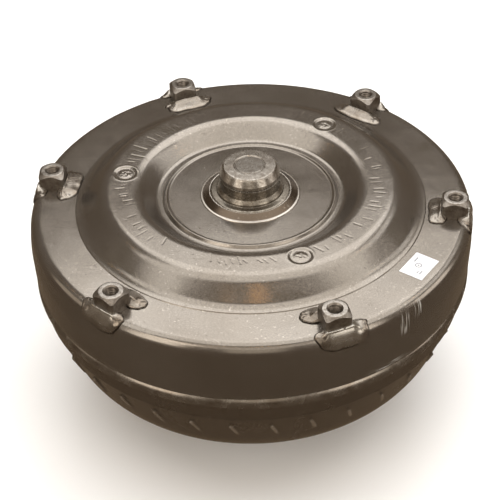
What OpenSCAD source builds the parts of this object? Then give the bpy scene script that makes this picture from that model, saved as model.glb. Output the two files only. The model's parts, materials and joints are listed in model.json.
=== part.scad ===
// Torque converter with lock-up clutch, in millimetres.
// The origin is the centre of the drive-lug bolt circle, in the plane of the lug faces.
// +Z points along the shaft axis towards the engine; the casing hangs below.

/* [Drive lugs] */
// Diameter of the bolt circle
lug_pcd = 292.1; // [291:0.1:293]
// Number of drive lugs
lug_count = 6; // [6:6]
// Side of the square lug
lug_side = 18.4; // [17.4:0.2:18.6]
// Height of a lug above its seat on the cover
lug_h = 13; // [12.75:0.25:13.5]
// Diameter of the threaded hole, at the thread's crests
lug_hole_d = 8.5; // [8.3:0.1:8.7]
// Direction of the first lug from +X
lug_az = -9.4; // [-15:0.1:0]

/* [Casing] */
// Outside diameter of the front cover's wall
cover_d = 320; // [320:0.5:322]
// Wall thickness of the front cover
cover_t = 5; // [4.9:0.1:5.1]
// Height of the cover's wall, from the lug seats to its rear edge
cover_wall_h = 45.75; // [45:0.25:46]
// Wall thickness of the impeller shell
impeller_t = 3.2; // [2.8:0.1:3.3]
// Number of raised blade tabs round the impeller shell, and of blades
impeller_blade_count = 35; // [31:1:35]

/* [Pilot] */
// Diameter of the pilot that centres in the crankshaft
pilot_d = 43.2; // [43:0.1:43.4]
// Height of the pilot's top above the lug faces
pilot_top = 16.2; // [15.8:0.1:16.8]

/* [Impeller hub] */
// Outside diameter of the hub that runs in the pump bush
hub_d = 47.6; // [47:0.1:47.8]
// Bore of the hub
hub_bore_d = 41.2; // [41:0.1:42]
// Distance from the lug faces down to the end of the hub
hub_end = 186.8; // [181:0.1:190]
// Width of a pump-drive notch in the end of the hub
notch_w = 9.6; // [9:0.1:11]

/* [Turbine] */
// Number of turbine blades
turbine_blade_count = 31; // [29:2:33]
// Number of teeth in the input-shaft spline
turbine_spline_teeth = 28; // [24:1:30]

/* [Stator] */
// Number of stator blades
stator_blade_count = 15; // [13:1:17]
// Number of rollers in the one-way clutch
roller_count = 10; // [9:1:10]
// Number of teeth in the support-shaft spline
race_spline_teeth = 34; // [30:1:36]

/* [Lock-up clutch] */
// Number of damper springs
spring_count = 8; // [8:8]
// Gap between the friction lining and the cover when released
release_gap = 1.2; // [1:0.1:1.5]

/* [Hidden] */

$fn = 96;
eps = 0.01;
steel = [0.44, 0.40, 0.36];
bright = [0.66, 0.64, 0.61];
alloy = [0.74, 0.75, 0.76];

// Casing heights
seat = -lug_h;
cover_end = seat - cover_wall_h;
cover_r = cover_d / 2;
ring_top = seat + 14.25;
disc_top = seat + 3.75;
disc_inside = disc_top - cover_t - 0.5;
cover_inner_face = seat - cover_t;
lug_r = lug_pcd / 2;

// Three coined dimples on the cover's raised ring
dimple_ring_r = 91;
dimple_r = 8.8;
dimple_count = 3;

// Fluid circuit: torus centre radius, and the centre heights of its two halves
torus_r = 101.35;
impeller_z = -94.85;
turbine_z = -91.75;
impeller_tube_r = 46;
turbine_tube_r = 44.5;
core_tube_r = 20;
turbine_t = 2;
core_t = 1.5;

// Heights of the hub and the bearings on the axis
hub_flange_top = -109.15;
hub_flange_bottom = -119.75;
hub_flange_r = 44.9;
needle_r = 1;
needle_gap = 0.05;
race_t = 1;
bearing_play = 0.1;
turbine_hub_bottom = -74.25;
stator_front = -78.65;
stator_rear = -104.75;
front_bearing_z = disc_inside - bearing_play;
middle_bearing_z = turbine_hub_bottom - bearing_play;
rear_bearing_z = stator_rear - bearing_play;
second_race = race_t + 2 * needle_r + 2 * needle_gap;
bearing_h = second_race + race_t;

// Lock-up clutch heights
lining_t = 1.5;
lining_top = cover_inner_face - release_gap;
piston_top = lining_top - lining_t;
piston_t = 3;
piston_bottom = piston_top - piston_t;
nose_r = 27;
running = 0.05;
spring_r = 122;
spring_z = -35.05;
coil_r = 7;
pin_ring_r = 88;
pin_r = 4;
pin_count = 6;
nose_bottom = -34.75;
piston_bore_end = -33.75;

function unit(v) = v / norm(v);
function polar(r, a) = [r * cos(a), r * sin(a)];

// Points of an arc round centre c, from angle a0 to a1
function arc(c, r, a0, a1, n = 12) = [for (i = [0:n]) c + polar(r, a0 + (a1 - a0) * i / n)];

// Rounded corner at b, between the legs towards a and c
function corner(a, b, c, rad, n) =
    let (
        u = unit(a - b),
        w = unit(c - b),
        half = acos(u * w) / 2,
        centre = b + unit(u + w) * rad / sin(half),
        p = b + u * rad / tan(half) - centre,
        q = b + w * rad / tan(half) - centre,
        start = atan2(p.y, p.x),
        sweep = (atan2(q.y, q.x) - start + 900) % 360 - 180
    )
    arc(centre, rad, start, start + sweep, n);

// Outline through [r, z, fillet radius] points; the first and last stay sharp
function at(p) = [p.x, p.y];
function outline(pts, n = 5) = [for (i = [0:len(pts) - 1])
    each pts[i][2] == 0 ? [at(pts[i])] : corner(at(pts[i - 1]), at(pts[i]), at(pts[i + 1]), pts[i][2], n)];

module revolve(points) { rotate_extrude($fn = 180) polygon(points); }

module ring(r_in, r_out, z0, z1) {
    difference() {
        translate([0, 0, z0]) cylinder(r = r_out, h = z1 - z0);
        translate([0, 0, z0 - 1]) cylinder(r = r_in, h = z1 - z0 + 2);
    }
}

module around(count, start = 0) {
    for (i = [0:count - 1]) rotate([0, 0, start + i * 360 / count]) children();
}

// ---- Front cover and what is welded to it ----

// Outer face of the cover, from the pilot to the rear edge of the wall
cover_shoulder = [[cover_r - 3.5, seat, 4.5], [cover_r, seat - 14.75, 12], [cover_r, cover_end, 0]];
cover_outside = concat([
    [14.2, disc_top, 0], [58, disc_top, 2], [60.2, disc_top + 1.1, 0.8], [61.8, disc_top + 1.1, 0.8],
    [64, disc_top - 1.1, 1.5], [67.5, disc_top - 1.1, 3], [80.5, ring_top, 8], [104.5, ring_top, 8],
    [121, seat + 1.25, 10], [125.6, seat + 0.6, 0], [126, seat, 0]], cover_shoulder);
cover_inside = [
    [cover_r - cover_t, cover_end, 0], [cover_r - cover_t, seat - 14.75, 8],
    [cover_r - 8.5, cover_inner_face, 4], [120.8, cover_inner_face, 5],
    [102.8, ring_top - cover_t, 6], [82.3, ring_top - cover_t, 6],
    [70, disc_inside, 3], [14.2, disc_inside, 0]];

module front_cover() {
    recess_depth = 1.2;
    color(steel) difference() {
        revolve(outline(concat(cover_outside, cover_inside)));
        around(dimple_count, lug_az + 60)
            translate([dimple_ring_r, 0, ring_top - recess_depth])
                cylinder(r1 = dimple_r - 1.2, r2 = dimple_r + 0.1, h = recess_depth + 0.1);
    }
}

module pilot_boss() {
    r = pilot_d / 2;
    cap = pilot_top;
    foot = -0.3;
    color(bright) revolve([
        [0, cap], [10.4, cap], [10.8, cap - 0.5], [r - 4.2, cap - 0.7], [r - 3.4, cap - 1.2],
        [r - 0.6, cap - 5.6], [r - 0.2, cap - 6.2], [r - 0.2, cap - 8], [r - 0.8, cap - 8.3],
        [r - 0.8, cap - 8.8], [r, cap - 9.1], [r, foot], [r + 0.6, foot - 1.3], [r + 2, foot - 2.3],
        [r + 2.3, disc_top + 4.9], [r + 6, disc_top + 4.6], [r + 7.1, disc_top + 3.9],
        [r + 7.1, disc_top], [14, disc_top], [14, disc_inside], [0, disc_inside]]);
}

module pilot_weld() {
    r = pilot_d / 2 + 7.1;
    color(steel) revolve([
        [r, disc_top], [r, disc_top + 3.6], [r + 1.2, disc_top + 3.3], [r + 6, disc_top + 0.9],
        [r + 7.2, disc_top]]);
}

// Small differences in how the lugs were turned when they were welded
lug_yaw = [1, 1, -5, 5, 0, -5];

module lug_place(i) {
    rotate([0, 0, lug_az + i * 360 / lug_count]) translate([lug_r, 0, 0]) rotate([0, 0, lug_yaw[i]])
        children();
}

module lug_block(side, h) { translate([-side / 2, -side / 2, -h]) cube([side, side, h]); }

module drive_lugs() {
    face_r = 7.8;
    turned_r = lug_side * 0.658;
    chamfer_h = 3.4;
    countersink = 0.5;
    color(steel) for (i = [0:lug_count - 1]) lug_place(i) difference() {
        intersection() {
            lug_block(lug_side, lug_h);
            revolve([[0, 0], [face_r, 0], [turned_r, -chamfer_h], [turned_r, -lug_h], [0, -lug_h]]);
        }
        translate([0, 0, -lug_h - 1]) cylinder(d = lug_hole_d, h = lug_h + 2);
        translate([0, 0, -countersink])
            cylinder(d1 = lug_hole_d, d2 = lug_hole_d + 3.5 * countersink, h = countersink + eps);
    }
}

// Weld bead shaped like a spindle along Y
module spindle(half_length, height) {
    rotate([90, 0, 0]) rotate_extrude($fn = 48) polygon([for (i = [0:12])
        let (a = -90 + 15 * i) [height * cos(a) + (abs(a) == 90 ? 0 : eps), half_length * sin(a)]]);
}

module lug_welds() {
    outer_r = 154.5;
    inner_r = 136.2;
    color(steel) for (i = [0:lug_count - 1]) difference() {
        rotate([0, 0, lug_az + i * 360 / lug_count]) {
            translate([outer_r, 0, seat - 1.2]) spindle(19, 7.3);
            translate([inner_r, 0, seat - 0.8]) spindle(18, 5.6);
        }
        revolve(concat([[0, cover_end], [0, seat]], outline(concat(
            [[120, seat, 0]], cover_shoulder))));
        lug_place(i) lug_block(lug_side, lug_h + 6);
    }
}

module label() {
    color("white") rotate([0, 0, -36.5]) translate([139.3 - 8.75, -12, seat]) cube([17.5, 24, 0.2]);
}

module closure_weld() {
    slip = cover_r - cover_t;
    color(steel) revolve([
        [slip, cover_end], [cover_r - 0.6, cover_end], [cover_r - 0.6, cover_end - 1],
        [cover_r - 1.2, cover_end - 2.6], [cover_r - 2.7, cover_end - 4],
        [cover_r - 2.8, cover_end - 1.5], [slip, cover_end - 1.5]]);
}

// ---- Impeller, welded to the cover ----

rib_top = [154.9, -81.75];
rib_foot = [144.5, -110.75];
rib_slope = unit(rib_foot - rib_top);
rib_out = [-rib_slope.y, rib_slope.x];
torus_lower = [torus_r, impeller_z];
torus_upper = [torus_r, turbine_z];
exit_angle = -137.5;
cone_angle = -20.2;
first_blade_az = -85.6;
blade_lean = 16;
shell_flat = -114.45;

module blade_tab() {
    tab_r = 1.8;
    middle = (rib_top + rib_foot) / 2 - rib_out * 0.6 - rib_slope * 1.5;
    translate([middle.x, 0, middle.y]) rotate([0, atan2(rib_slope.x, rib_slope.y), 0])
        rotate([-blade_lean, 0, 0]) cylinder(r = tab_r, h = 14, center = true, $fn = 24);
}

module impeller_shell() {
    slip = cover_r - cover_t - running;
    lip = cover_r - 2.8;
    inner_tube = impeller_tube_r - impeller_t;
    exit_run = polar(1, exit_angle - 90);
    outer_exit = torus_lower + polar(impeller_tube_r, exit_angle);
    inner_exit = torus_lower + polar(inner_tube, exit_angle);
    outer_end = outer_exit + exit_run * (shell_flat - outer_exit.y) / exit_run.y;
    inner_end = inner_exit + exit_run * (shell_flat + impeller_t - inner_exit.y) / exit_run.y;
    wall_in = cover_r - 8;
    color(steel) union() {
        revolve(concat(
            outline([
                [wall_in, cover_end + 8, 0], [slip, cover_end + 8, 0], [slip, cover_end - 1.5, 0],
                [lip, cover_end - 1.5, 0], [lip - 0.1, cover_end - 4, 0.5],
                [rib_top.x + 1, rib_top.y + 1.5, 1], [rib_top.x, rib_top.y, 0]]),
            arc(torus_lower, impeller_tube_r, cone_angle, exit_angle, 20),
            [outer_end, [hub_flange_r + 0.1, shell_flat], [hub_flange_r + 0.1, shell_flat + impeller_t],
                inner_end],
            arc(torus_lower, inner_tube, exit_angle, cone_angle, 20),
            [rib_top - rib_out * impeller_t]));
        around(impeller_blade_count, first_blade_az) blade_tab();
    }
}

// Flat blade that leans by lean degrees: its rim follows a ring of the fluid circuit.
// centre is the circuit's centre, r_in and r_out bound the blade, and a0 to a1 is its arc.
function leaned(p, centre, lean) =
    let (t = (p.y - centre.y) * tan(lean)) [sqrt(p.x * p.x - t * t), (p.y - centre.y) / cos(lean)];

module blade(centre, r_in, r_out, a0, a1, lean, thickness) {
    rim = concat(arc(centre, r_out, a0, a1, 14), arc(centre, r_in, a1, a0, 10));
    translate([0, 0, centre.y]) rotate([lean, 0, 0]) rotate([90, 0, 0])
        linear_extrude(thickness, center = true) polygon([for (p = rim) leaned(p, centre, lean)]);
}

module impeller_blades() {
    color(bright) around(impeller_blade_count, first_blade_az)
        blade(torus_lower, core_tube_r + 0.4, impeller_tube_r - impeller_t - 0.5,
            -6, -155, blade_lean, 1.2);
}

module core_shell(centre, a0, a1) {
    revolve(concat(arc(centre, core_tube_r, a0, a1), arc(centre, core_tube_r - core_t, a1, a0)));
}

module impeller_core() { color(bright) core_shell(torus_lower, -5, -145); }

module impeller_hub() {
    r = hub_d / 2;
    bore = hub_bore_d / 2;
    notch_depth = 13;
    color(bright) difference() {
        revolve(outline([
            [bore, hub_flange_top, 0], [hub_flange_r, hub_flange_top, 0],
            [hub_flange_r, hub_flange_bottom + 2, 0], [hub_flange_r - 2, hub_flange_bottom, 0],
            [r, hub_flange_bottom, 3], [r, 1.5 - hub_end, 0], [r - 1.5, -hub_end, 0],
            [bore + 1, -hub_end, 0], [bore, 1 - hub_end, 0]]));
        translate([-r - 1, -notch_w / 2, -hub_end - 1]) cube([2 * r + 2, notch_w, notch_depth + 1]);
    }
}

module hub_weld() {
    r = hub_flange_r + 0.1;
    z = shell_flat - running;
    color(steel) revolve([[r, z], [r, z - 4.2], [r + 1, z - 4], [r + 4.6, z - 1], [r + 5, z]]);
}

// ---- Turbine ----

flange_top = -66.25;
flange_r = 58;
rivet_ring_r = 51.5;
rivet_count = 8;
shell_exit = 145;

module rivet_holes(z0, z1) {
    around(rivet_count) translate([rivet_ring_r, 0, z0]) cylinder(r = 3, h = z1 - z0, $fn = 32);
}

module turbine_shell() {
    inner = turbine_tube_r - turbine_t;
    color(bright) difference() {
        revolve(concat(
            arc(torus_upper, turbine_tube_r, 1, shell_exit, 18),
            [[46, flange_top], [46, flange_top - turbine_t], [66, flange_top - turbine_t]],
            arc(torus_upper, inner, shell_exit, 1, 18)));
        rivet_holes(flange_top - 5, flange_top + 5);
    }
}

module turbine_blades() {
    color(bright) around(turbine_blade_count)
        blade(torus_upper, core_tube_r + 0.4, turbine_tube_r - turbine_t - 0.5, 3, 152, -18, 1);
}

module turbine_core() { color(bright) core_shell(torus_upper, 2, 145); }

// Straight-sided spline bore, tooth tips at r_tip and tooth roots at r_root
module spline_bore(teeth, r_tip, r_root, z0, z1) {
    step = 360 / teeth;
    translate([0, 0, z0]) linear_extrude(z1 - z0) polygon([for (i = [0:teeth - 1])
        each [polar(r_tip, (i - 0.28) * step), polar(r_root, (i - 0.2) * step),
            polar(r_root, (i + 0.2) * step), polar(r_tip, (i + 0.28) * step)]]);
}

module turbine_hub() {
    top = disc_inside - bearing_h - 2 * bearing_play;
    groove = [-24.75, -27.35];
    shoulder = [-46.75, -52.75];
    flange_face = flange_top - turbine_t - 0.1;
    groove_r = nose_r - 1.9;
    bore = 16.4;
    color(bright) difference() {
        revolve([
            [12, top], [nose_r - 1, top], [nose_r, top - 1], [nose_r, groove.x], [groove_r, groove.x],
            [groove_r, groove.y], [nose_r, groove.y], [nose_r, nose_bottom], [32, nose_bottom],
            [32, shoulder.x], [38, shoulder.y], [38, flange_face], [flange_r, flange_face],
            [flange_r, turbine_hub_bottom], [12, turbine_hub_bottom]]);
        translate([0, 0, nose_bottom]) cylinder(r = bore, h = 40);
        spline_bore(turbine_spline_teeth, 14.6, 15.9, turbine_hub_bottom - 1, nose_bottom + 1);
        rivet_holes(turbine_hub_bottom - 1, flange_face + 1);
    }
}

module turbine_rivets() {
    head_r = 4.8;
    color(bright) around(rivet_count) translate([rivet_ring_r, 0, 0]) union() {
        translate([0, 0, turbine_hub_bottom])
            cylinder(r = 2.95, h = flange_top - turbine_hub_bottom, $fn = 32);
        translate([0, 0, flange_top]) cylinder(r1 = head_r, r2 = head_r - 1.4, h = 1.8, $fn = 32);
        translate([0, 0, turbine_hub_bottom - 1.5])
            cylinder(r1 = head_r - 1.4, r2 = head_r, h = 1.5, $fn = 32);
    }
}

module hub_seal_ring() {
    color("dimgray") difference() {
        ring(nose_r - 1.8, nose_r, -27.25, -24.85);
        translate([20, -0.4, -31]) cube([10, 0.8, 10]);
    }
}

// Plate on the turbine whose fingers reach up between the damper springs
module driven_plate() {
    top = -44.05;
    finger_w = 12;
    color(bright) union() {
        ring(92, 112, top - 3, top);
        around(spring_count) translate([110, -finger_w / 2, top - 3]) cube([18, finger_w, 16.3]);
    }
}

// ---- Lock-up clutch ----

module lockup_piston() {
    bore = nose_r + running;
    color(steel) difference() {
        revolve(outline([
            [bore, piston_top + 1, 0], [30.5, piston_top + 1, 0.8], [34, piston_top, 1],
            [149.6, piston_top, 2], [152.4, piston_top - 3.5, 0], [152.4, piston_top - 9, 0],
            [149.6, piston_top - 9, 0], [149.6, piston_top - 4.5, 1], [148, piston_bottom, 0],
            [34, piston_bottom, 2], [30.5, piston_bottom - 3, 1], [30.5, piston_bore_end, 0],
            [bore, piston_bore_end, 0]]));
        around(pin_count) translate([pin_ring_r, 0, piston_bottom - 5])
            cylinder(r = pin_r - 1, h = 20, $fn = 32);
    }
}

module friction_lining() {
    color([0.28, 0.2, 0.14]) difference() {
        ring(128, 148, piston_top, lining_top);
        around(12, 15) translate([120, -1, lining_top - 0.6]) cube([40, 2, 2]);
    }
}

module piston_drive_pins() {
    color(bright) around(pin_count) translate([pin_ring_r, 0, 0]) union() {
        translate([0, 0, piston_bottom - 7]) cylinder(r = pin_r, h = 7, $fn = 32);
        translate([0, 0, piston_bottom]) cylinder(r = pin_r - 1.05, h = piston_t, $fn = 32);
    }
}

module spring_retainer() {
    t = 2;
    flat = piston_bottom - 1.8;
    low = -35.25;
    rim_end = -41.75;
    stop_h = 2.3;
    color(bright) union() {
        difference() {
            revolve([
                [32 + running, low], [59.5, low], [74.5, flat], [131, flat], [133, flat - t],
                [133, rim_end], [131, rim_end], [131, flat - t - 0.6], [130.4, flat - t],
                [75.5, flat - t], [60.5, low - t], [32 + running, low - t]]);
            around(pin_count) translate([pin_ring_r, 0, flat - 10])
                cylinder(r = pin_r + 0.1, h = 20, $fn = 32);
        }
        around(spring_count) translate([117, -6, flat - t - stop_h]) cube([10, 12, stop_h + 0.2]);
    }
}

// Each coil spring stands in for its windings as a plain sleeve
module damper_springs() {
    length = 54;
    color("slategray") around(spring_count, 180 / spring_count)
        translate([spring_r - 2.4, 0, spring_z]) rotate([90, 0, 0]) difference() {
            cylinder(r = coil_r, h = length, center = true, $fn = 48);
            cylinder(r = coil_r - 3, h = length + 2, center = true, $fn = 48);
        }
}

// ---- Stator and its one-way clutch ----

wheel_bore_r = 43;
wheel_hub_r = 58.3;
cam_r = wheel_bore_r - running;
race_r = 27;
roller_r = 3.5;
roller_ring_r = race_r + roller_r + running;
cam_front = -82.75;
cam_back = -101.75;
wheel_mid = -92.75;
wheel_rear = -107.05;
wheel_outer_r = 84.6;

// Blade section: thick rounded nose up, thin tail down, turned through the chord
function airfoil(chord, thick) = [for (i = [0:15])
    let (a = i * 24, x = cos(a), half = thick / 2 * (0.55 + 0.45 * x))
    [half * sin(a) + 3.2 * (1 - x * x), x * chord / 2]];

module stator_blade() {
    root = wheel_hub_r - 0.6;
    rotate([90, 0, 90]) translate([0, wheel_mid, root]) rotate([0, 0, 28])
        linear_extrude(wheel_outer_r - 1.7 - root) polygon(airfoil(22, 6.5));
}

module stator_wheel() {
    color(alloy) difference() {
        union() {
            translate([0, 0, wheel_rear]) cylinder(r = wheel_hub_r, h = 27.3);
            ring(wheel_outer_r - 2.2, wheel_outer_r, wheel_mid - 9, wheel_mid + 10);
            around(stator_blade_count) stator_blade();
        }
        translate([0, 0, wheel_rear - 1]) cylinder(r = wheel_bore_r, h = 60);
        translate([0, 0, stator_rear - 1.25]) cylinder(r = wheel_bore_r + 1.6, h = 1.2);
    }
}

// Pocket of one roller: its roof rises away from the narrow end
module cam_pocket() {
    roof = roller_ring_r + roller_r + 0.07;
    linear_extrude(40, center = true) polygon(concat(
        [polar(race_r + 0.5, -8)],
        [for (i = [0:6]) let (a = -8 + 4.5 * i) polar(roof + max(0, a) * 0.05, a)],
        [polar(race_r + 0.5, 19)]));
}

module clutch_cam() {
    color(bright) difference() {
        ring(race_r + 1.2, cam_r, cam_back, cam_front);
        around(roller_count) translate([0, 0, (cam_front + cam_back) / 2]) cam_pocket();
    }
}

module clutch_front_cap() { color(alloy) ring(race_r + 0.6, cam_r, cam_front + 0.1, stator_front); }

module clutch_rear_cap() { color(alloy) ring(race_r + 0.6, cam_r, stator_rear, cam_back - 0.1); }

module clutch_snap_ring() {
    color("dimgray") difference() {
        ring(41.6, wheel_bore_r + 1.5, stator_rear - 1.2, stator_rear - 0.1);
        rotate([0, 0, 80]) translate([0, 0, stator_rear - 3]) linear_extrude(5) polygon(
            [[0, 0], polar(60, -10), polar(60, 10)]);
    }
}

// Folded leaf springs that push the rollers to the narrow end of their pockets
module clutch_springs() {
    folds = 6;
    leaf = 0.8;
    function zig(i, rise) = polar((i % 2 == 0 ? 29.2 : 32) + rise, 11 + 6.4 * i / folds);
    color("silver") around(roller_count) translate([0, 0, cam_back + 3])
        linear_extrude(cam_front - cam_back - 6) polygon(concat(
            [for (i = [0:folds]) zig(i, 0)], [for (i = [folds:-1:0]) zig(i, leaf)]));
}

module clutch_rollers() {
    color("lightsteelblue") around(roller_count)
        translate([roller_ring_r, 0, cam_back + 0.5])
            cylinder(r = roller_r, h = cam_front - cam_back - 1, $fn = 48);
}

module clutch_inner_race() {
    color(bright) difference() {
        translate([0, 0, stator_rear + 0.5]) cylinder(r = race_r, h = 24.5);
        spline_bore(race_spline_teeth, 18.6, 19.9, stator_rear, stator_front);
    }
}

// ---- Thrust bearings: two races and a cage of needles, from z downwards ----

module bearing_race(r_in, r_out, z) { color("lightgray") ring(r_in, r_out, z - race_t, z); }

module bearing_needles(r_in, r_out, z, count) {
    mid = z - race_t - needle_gap - needle_r;
    color("lightsteelblue") around(count)
        translate([r_in + 1.5, 0, mid]) rotate([0, 90, 0])
            cylinder(r = needle_r, h = r_out - r_in - 3, $fn = 24);
}

module bearing_cage(r_in, r_out, z, count) {
    mid = z - race_t - needle_gap - needle_r;
    half = 0.6;
    color("silver") difference() {
        ring(r_in, r_out, mid - half, mid + half);
        around(count) translate([r_in + 1.4, -needle_r - running, mid - 2])
            cube([r_out - r_in - 2.8, 2 * (needle_r + running), 4]);
    }
}

front_race = [17, 26];
wide_race = [27.2, 41];
front_needle_count = 20;
wide_needle_count = 30;

module front_bearing_cover_race() { bearing_race(front_race[0], front_race[1], front_bearing_z); }
module front_bearing_hub_race() {
    bearing_race(front_race[0], front_race[1], front_bearing_z - second_race);
}
module front_bearing_cage() {
    bearing_cage(front_race[0], front_race[1], front_bearing_z, front_needle_count);
}
module front_bearing_needles() {
    bearing_needles(front_race[0], front_race[1], front_bearing_z, front_needle_count);
}
module middle_bearing_turbine_race() { bearing_race(wide_race[0], wide_race[1], middle_bearing_z); }
module middle_bearing_stator_race() {
    bearing_race(wide_race[0], wide_race[1], middle_bearing_z - second_race);
}
module middle_bearing_cage() {
    bearing_cage(wide_race[0], wide_race[1], middle_bearing_z, wide_needle_count);
}
module middle_bearing_needles() {
    bearing_needles(wide_race[0], wide_race[1], middle_bearing_z, wide_needle_count);
}
module rear_bearing_stator_race() { bearing_race(wide_race[0], wide_race[1], rear_bearing_z); }
module rear_bearing_impeller_race() {
    bearing_race(wide_race[0], wide_race[1], rear_bearing_z - second_race);
}
module rear_bearing_cage() { bearing_cage(wide_race[0], wide_race[1], rear_bearing_z, wide_needle_count); }
module rear_bearing_needles() {
    bearing_needles(wide_race[0], wide_race[1], rear_bearing_z, wide_needle_count);
}

front_cover();
pilot_boss();
pilot_weld();
drive_lugs();
lug_welds();
label();
closure_weld();
impeller_shell();
impeller_blades();
impeller_core();
impeller_hub();
hub_weld();
turbine_shell();
turbine_blades();
turbine_core();
turbine_hub();
turbine_rivets();
hub_seal_ring();
driven_plate();
lockup_piston();
friction_lining();
piston_drive_pins();
spring_retainer();
damper_springs();
stator_wheel();
clutch_cam();
clutch_front_cap();
clutch_rear_cap();
clutch_snap_ring();
clutch_springs();
clutch_rollers();
clutch_inner_race();
front_bearing_cover_race();
front_bearing_hub_race();
front_bearing_cage();
front_bearing_needles();
middle_bearing_turbine_race();
middle_bearing_stator_race();
middle_bearing_cage();
middle_bearing_needles();
rear_bearing_stator_race();
rear_bearing_impeller_race();
rear_bearing_cage();
rear_bearing_needles();
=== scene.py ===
"""Looks of the torque converter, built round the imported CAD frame.

Lengths are in millimetres. Shaders, lights and the floor take metres, which is what MM turns them into.
"""
import json
import math

import bmesh
import bpy
import numpy as np
from mathutils import Matrix, Vector


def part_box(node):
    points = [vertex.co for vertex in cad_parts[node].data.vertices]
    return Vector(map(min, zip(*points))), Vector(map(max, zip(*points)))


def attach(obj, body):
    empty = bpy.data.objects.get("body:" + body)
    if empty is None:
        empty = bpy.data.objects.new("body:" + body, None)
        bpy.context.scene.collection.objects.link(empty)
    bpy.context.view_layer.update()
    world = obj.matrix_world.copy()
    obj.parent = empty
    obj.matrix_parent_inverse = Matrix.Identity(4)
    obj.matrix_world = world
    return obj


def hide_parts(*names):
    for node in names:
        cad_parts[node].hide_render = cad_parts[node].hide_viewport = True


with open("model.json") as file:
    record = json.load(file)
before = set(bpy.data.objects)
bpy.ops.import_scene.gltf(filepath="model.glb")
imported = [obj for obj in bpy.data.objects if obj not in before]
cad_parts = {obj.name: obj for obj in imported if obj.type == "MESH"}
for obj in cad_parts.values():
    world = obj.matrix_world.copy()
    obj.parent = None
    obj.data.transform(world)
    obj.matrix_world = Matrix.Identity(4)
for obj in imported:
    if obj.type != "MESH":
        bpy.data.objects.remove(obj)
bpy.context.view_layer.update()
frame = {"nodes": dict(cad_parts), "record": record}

MM = 0.001

# ---- Driving dimensions: from the frame where a node's box holds them, else the drawing's own ----


def corner_mm(node, high, axis):
    """One coordinate of a CAD node's box, in millimetres, rounded to the drawing's 0.05 mm."""
    return round(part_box(node)[high][axis] / MM * 20) / 20


SEAT = corner_mm("drive_lugs", 0, 2)
COVER_R = round(corner_mm("front_cover", 1, 0))
COVER_END = corner_mm("front_cover", 0, 2)
PILOT_TOP = corner_mm("pilot_boss", 1, 2)
HUB_END = corner_mm("impeller_hub", 0, 2)
LUG_R = 146.05
LUG_SIDE = 18.6
LUG_HALF = LUG_SIDE / 2
LUG_AZ = [-9.4 + 60 * i for i in range(6)]
LUG_YAW = [1, 1, -5, 5, 0, -5]  # degrees that each lug is welded out of square
DIMPLE_AZ = [LUG_AZ[i] for i in (1, 3, 5)]
TABS = 35
FIRST_TAB_AZ = -85.6
CUT = -0.4  # how far a welded piece is sunk into the one below
RIB_TOP = np.array((154.9, -81.75))  # upper end of the shell's cone, which carries the tabs
LABEL_R, LABEL_AZ = 139.3, -36.5
LABEL_W, LABEL_L = 17.3, 23.8

# ---- Small mesh tools ----


def lerp(a, b, t):
    return a + (b - a) * t


def smoothstep(x):
    """Soft step from 0 to 1 as x goes from 0 to 1."""
    x = np.clip(x, 0, 1)
    return x * x * (3 - 2 * x)


WAVES = 14  # sines in each patch of noise


def waves(x, y, size, seed):
    """Smooth noise of about +-1 in a plane: crossed sines with lengths near size."""
    rng = np.random.default_rng(seed)
    total = 0
    for _ in range(WAVES):
        angle, phase = rng.uniform(0, 2 * math.pi, 2)
        k = 2 * math.pi / (size * rng.uniform(0.7, 1.6))
        total = total + np.sin(k * (x * math.cos(angle) + y * math.sin(angle)) + phase)
    return total / math.sqrt(WAVES)


def arc(cx, cz, r, a0, a1, n):
    """An arc in n steps, angles in degrees."""
    a = np.radians(np.linspace(a0, a1, n + 1))
    return [(cx + r * math.cos(t), cz + r * math.sin(t)) for t in a]


def rounded(points, n=8):
    """Outline through (r, z, fillet radius) corners, with each fillet in n steps."""
    out = []
    for i, (x, z, rad) in enumerate(points):
        here = np.array((x, z), float)
        if rad == 0:
            out.append(here)
            continue
        u = np.array(points[i - 1][:2]) - here
        w = np.array(points[i + 1][:2]) - here
        u, w = u / np.linalg.norm(u), w / np.linalg.norm(w)
        half = math.acos(np.clip(u @ w, -1, 1)) / 2
        centre = here + (u + w) / np.linalg.norm(u + w) * rad / math.sin(half)
        reach = rad / math.tan(half)
        p, q = here + u * reach - centre, here + w * reach - centre
        start = math.atan2(p[1], p[0])
        sweep = (math.atan2(q[1], q[0]) - start + math.pi) % (2 * math.pi) - math.pi
        for t in np.linspace(start, start + sweep, n + 1):
            out.append(centre + rad * np.array((math.cos(t), math.sin(t))))
    return np.array(out)


def resample(path, step):
    """Adds points along straight stretches: no gap is longer than step(r, z)."""
    out = [path[0]]
    for a, b in zip(path[:-1], path[1:]):
        n = max(1, math.ceil(np.linalg.norm(b - a) / step(*((a + b) / 2))))
        out += [lerp(a, b, (k + 1) / n) for k in range(n)]
    return np.array(out)


def mesh_object(name, verts, faces, sharp=33, wear_and_light=None):
    """A smooth-shaded mesh from millimetre coordinates; edges over sharp degrees stay crisp.

    Each point's value goes with it: over nothing the colour is made brighter, under nothing darker. On the lugs
    and the pilot skirt that is real rubbing; on the weld beads and the shell's tabs it is painted highlight and
    painted shade.
    """
    mesh = bpy.data.meshes.new(name)
    mesh.from_pydata((np.asarray(verts, float) * MM).tolist(), [], faces)
    if wear_and_light is not None:
        layer = mesh.attributes.new("wear_and_light", "FLOAT", "POINT")
        layer.data.foreach_set("value", np.asarray(wear_and_light, np.float32))
    bm = bmesh.new()
    bm.from_mesh(mesh)
    bmesh.ops.remove_doubles(bm, verts=bm.verts, dist=1e-6)
    bmesh.ops.recalc_face_normals(bm, faces=bm.faces)
    limit = math.radians(sharp)
    for e in bm.edges:
        e.smooth = len(e.link_faces) < 2 or e.calc_face_angle(0) < limit
    for f in bm.faces:
        f.smooth = True
    bm.to_mesh(mesh)
    bm.free()
    obj = bpy.data.objects.new(name, mesh)
    bpy.context.scene.collection.objects.link(obj)
    return obj


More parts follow.
